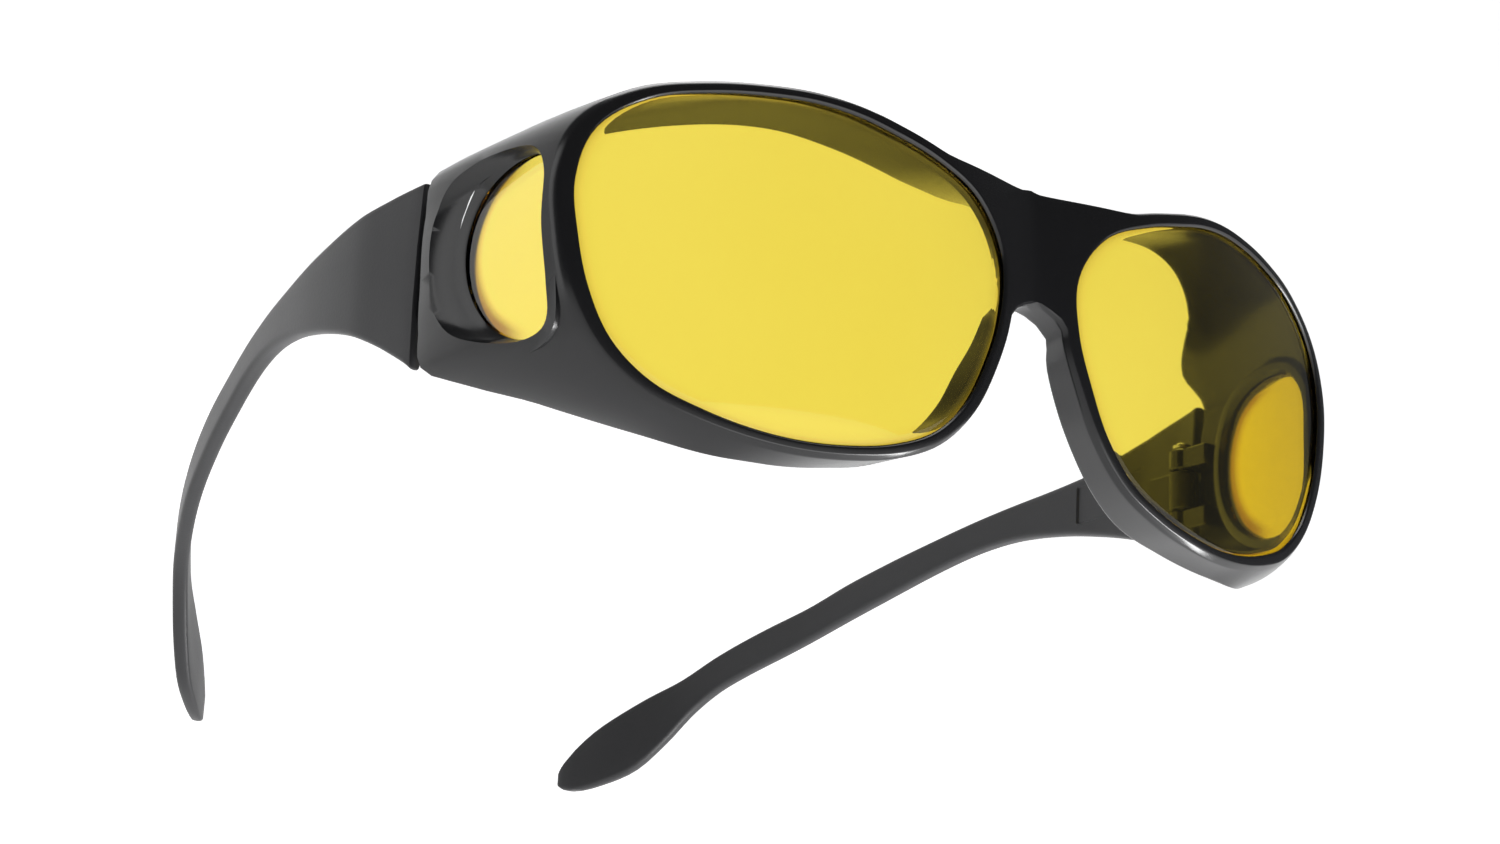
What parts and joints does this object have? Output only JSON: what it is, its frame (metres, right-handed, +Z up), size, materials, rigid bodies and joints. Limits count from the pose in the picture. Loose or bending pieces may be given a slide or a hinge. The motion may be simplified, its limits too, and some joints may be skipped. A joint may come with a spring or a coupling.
{
  "type": "fit-over glasses",
  "caption": "Wrap-round fit-over glasses with yellow lenses, side windows in deep side shields and folding paddle-tip temples, worn over ordinary spectacles.",
  "frame": {"origin": "middle of the box round the glasses, at the surface they stand on", "axes": "+Z up, the front looks along -Y, the temples run back along +Y, +X is the wearer's left"},
  "size_m": [0.146, 0.1754, 0.0515],
  "materials": {
    "frame_black": "moulded, polished black",
    "temple_black": "satin soft-touch black",
    "lens_yellow": "clear, tinted through",
    "screw_steel": "turned and plated"
  },
  "bodies": {
    "front": {"front_frame": "frame_black", "main_lens_left": "lens_yellow", "main_lens_right": "lens_yellow", "side_lens_left": "lens_yellow", "side_lens_right": "lens_yellow", "hinge_screw_left": "screw_steel", "hinge_screw_right": "screw_steel"},
    "temple_left": {"temple_left": "temple_black"},
    "temple_right": {"temple_right": "temple_black"}
  },
  "joints": [
    {"name": "temple_left_fold", "type": "hinge", "parent": "front", "child": "temple_left", "pos_m": [0.0661, -0.04077, 0.0279], "axis": [0, -0.0489, 0.9988], "range_deg": [0, 88]},
    {"name": "temple_right_fold", "type": "hinge", "parent": "front", "child": "temple_right", "pos_m": [-0.0661, -0.04077, 0.0279], "axis": [0, 0.0489, -0.9988], "range_deg": [0, 80]}
  ]
}
